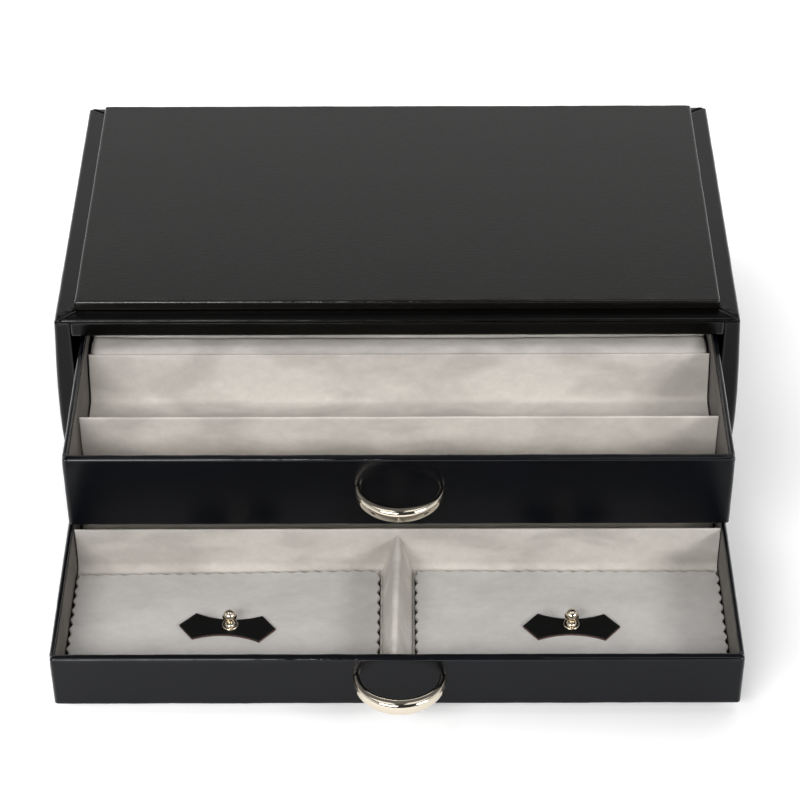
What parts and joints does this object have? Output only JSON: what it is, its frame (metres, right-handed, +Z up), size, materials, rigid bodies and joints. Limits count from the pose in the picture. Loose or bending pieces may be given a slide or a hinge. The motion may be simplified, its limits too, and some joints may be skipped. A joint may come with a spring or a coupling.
{
  "type": "cufflink box with drawers",
  "caption": "Leather-covered cufflink box with a raised top panel and stacked pull-out drawers, lined in suede with cufflink rolls and lift-out pads.",
  "frame": {"origin": "on the table under the middle of the case's footprint, at the underside of the felt", "axes": "+X to the right seen from the front, the drawers open towards -Y, +Z up"},
  "size_m": [0.256, 0.2899, 0.077],
  "materials": {
    "case_leather": "smooth black leather over board",
    "panel_leather": "smooth black leather over board",
    "drawer_leather": "smooth black leather over board",
    "drawer_board": "black-papered board",
    "base_felt": "black pressed felt",
    "suede_lining": "light grey suede on card",
    "suede_roll": "foam wrapped in light grey suede",
    "roll_riser": "plain board",
    "suede_pad": "grey suede, two layers, pinked edge",
    "patch_leather": "smooth black leather, cut edge",
    "polished_handle": "polished brass plated in pale gold",
    "polished_stud": "polished brass plated in pale gold",
    "screw_steel": "plain steel"
  },
  "bodies": {
    "case": {"base_felt": "base_felt", "case_back_board": "case_leather", "case_base_board": "case_leather", "case_drawer_shelf": "case_leather", "case_left_wall": "case_leather", "case_right_wall": "case_leather", "case_top_board": "case_leather", "top_panel": "panel_leather"},
    "upper_drawer": {"upper_bottom_board": "drawer_board", "upper_cufflink_roll_1": "suede_roll", "upper_cufflink_roll_2": "suede_roll", "upper_cufflink_roll_3": "suede_roll", "upper_cufflink_roll_4": "suede_roll", "upper_cufflink_roll_5": "suede_roll", "upper_cufflink_roll_6": "suede_roll", "upper_front_floor_lining": "suede_lining", "upper_front_lining": "suede_lining", "upper_front_partition": "suede_lining", "upper_front_wall": "drawer_leather", "upper_handle": "polished_handle", "upper_handle_screws": "screw_steel", "upper_left_lining": "suede_lining", "upper_left_wall": "drawer_leather", "upper_middle_floor_lining": "suede_lining", "upper_middle_riser": "roll_riser", "upper_rear_partition": "suede_lining", "upper_rear_wall": "drawer_leather", "upper_right_lining": "suede_lining", "upper_right_wall": "drawer_leather", "upper_roll_riser": "roll_riser"},
    "lower_drawer": {"lower_bottom_board": "drawer_board", "lower_centre_divider": "suede_lining", "lower_cross_partition": "suede_lining", "lower_cufflink_roll_1": "suede_roll", "lower_cufflink_roll_2": "suede_roll", "lower_cufflink_roll_3": "suede_roll", "lower_cufflink_roll_4": "suede_roll", "lower_cufflink_roll_5": "suede_roll", "lower_cufflink_roll_6": "suede_roll", "lower_floor_lining": "suede_lining", "lower_front_lining": "suede_lining", "lower_front_wall": "drawer_leather", "lower_handle": "polished_handle", "lower_handle_screws": "screw_steel", "lower_left_lining": "suede_lining", "lower_left_wall": "drawer_leather", "lower_rear_wall": "drawer_leather", "lower_right_lining": "suede_lining", "lower_right_wall": "drawer_leather", "lower_roll_riser": "roll_riser"},
    "left_pad": {"left_cover_pad": "suede_pad", "left_pad_patch": "patch_leather", "left_pad_screw": "screw_steel", "left_pad_stud": "polished_stud"},
    "right_pad": {"right_cover_pad": "suede_pad", "right_pad_patch": "patch_leather", "right_pad_screw": "screw_steel", "right_pad_stud": "polished_stud"}
  },
  "joints": [
    {"name": "upper_drawer_slide", "type": "slide", "parent": "case", "child": "upper_drawer", "axis": [0, -1, 0], "range_m": [-0.0684, 0.0625]},
    {"name": "lower_drawer_slide", "type": "slide", "parent": "case", "child": "lower_drawer", "axis": [0, -1, 0], "range_m": [-0.1309, 0]},
    {"name": "left_pad_lift", "type": "slide", "parent": "lower_drawer", "child": "left_pad", "axis": [0, 0, 1], "range_m": [0, 0.009]},
    {"name": "right_pad_lift", "type": "slide", "parent": "lower_drawer", "child": "right_pad", "axis": [0, 0, 1], "range_m": [0, 0.009]}
  ]
}
